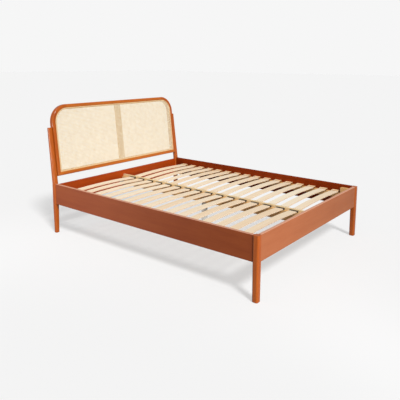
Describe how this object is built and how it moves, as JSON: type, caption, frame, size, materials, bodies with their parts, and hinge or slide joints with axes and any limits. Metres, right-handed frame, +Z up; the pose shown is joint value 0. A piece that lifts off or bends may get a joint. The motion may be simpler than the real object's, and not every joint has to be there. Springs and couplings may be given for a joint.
{
  "type": "rattan bed frame",
  "caption": "Double bed frame with a leaning, round-cornered cane headboard, tapered wooden legs and two rows of sprung slats on ledgers and a centre beam.",
  "frame": {"origin": "on the floor, at the middle of the bed's overall footprint", "axes": "+Z up; +Y towards the head end and -Y towards the foot end; +X to the right when one looks from the foot end to the headboard"},
  "size_m": [1.614, 2.1826, 1.118],
  "materials": {
    "leg_wood": "satin lacquer, orange-brown stain",
    "rail_wood": "matt terracotta-brown stain",
    "headboard_wood": "satin lacquer, orange-brown stain",
    "batten_wood": "matt",
    "cane": "natural cane, matt",
    "reed": "natural reed, matt",
    "pine": "planed, bare",
    "strip_wood": "planed, bare",
    "slat_wood": "bare laminated birch, satin",
    "cap_plastic": "matt",
    "zinc_steel": "zinc plated"
  },
  "bodies": {
    "bed_frame": {"head_leg_left": "leg_wood", "head_leg_right": "leg_wood", "foot_leg_left": "leg_wood", "foot_leg_right": "leg_wood", "side_rail_left": "rail_wood", "side_rail_right": "rail_wood", "foot_rail": "rail_wood", "head_rail": "rail_wood", "headboard_top_rail": "headboard_wood", "headboard_corner_left": "headboard_wood", "headboard_corner_right": "headboard_wood", "headboard_stile_left": "headboard_wood", "headboard_stile_right": "headboard_wood", "headboard_bottom_rail": "headboard_wood", "headboard_batten": "batten_wood", "cane_panel": "cane", "cane_bead": "reed", "side_ledger_left": "pine", "side_ledger_right": "pine", "centre_beam": "pine", "corner_blocks": "pine", "centre_leg": "pine", "centre_strip": "strip_wood", "slat_left_01": "slat_wood", "slat_left_02": "slat_wood", "slat_left_03": "slat_wood", "slat_left_04": "slat_wood", "slat_left_05": "slat_wood", "slat_left_06": "slat_wood", "slat_left_07": "slat_wood", "slat_left_08": "slat_wood", "slat_left_09": "slat_wood", "slat_left_10": "slat_wood", "slat_left_11": "slat_wood", "slat_left_12": "slat_wood", "slat_left_13": "slat_wood", "slat_left_14": "slat_wood", "slat_left_15": "slat_wood", "slat_left_16": "slat_wood", "slat_right_01": "slat_wood", "slat_right_02": "slat_wood", "slat_right_03": "slat_wood", "slat_right_04": "slat_wood", "slat_right_05": "slat_wood", "slat_right_06": "slat_wood", "slat_right_07": "slat_wood", "slat_right_08": "slat_wood", "slat_right_09": "slat_wood", "slat_right_10": "slat_wood", "slat_right_11": "slat_wood", "slat_right_12": "slat_wood", "slat_right_13": "slat_wood", "slat_right_14": "slat_wood", "slat_right_15": "slat_wood", "slat_right_16": "slat_wood", "slat_caps": "cap_plastic", "beam_hangers": "zinc_steel", "frame_bolts": "zinc_steel", "insert_nuts": "zinc_steel"},
    "levelling_foot": {"levelling_foot": "zinc_steel"}
  },
  "joints": [
    {"name": "levelling_foot_screw", "type": "slide", "parent": "bed_frame", "child": "levelling_foot", "axis": [0, 0, 1], "range_m": [0, 0.012]}
  ]
}
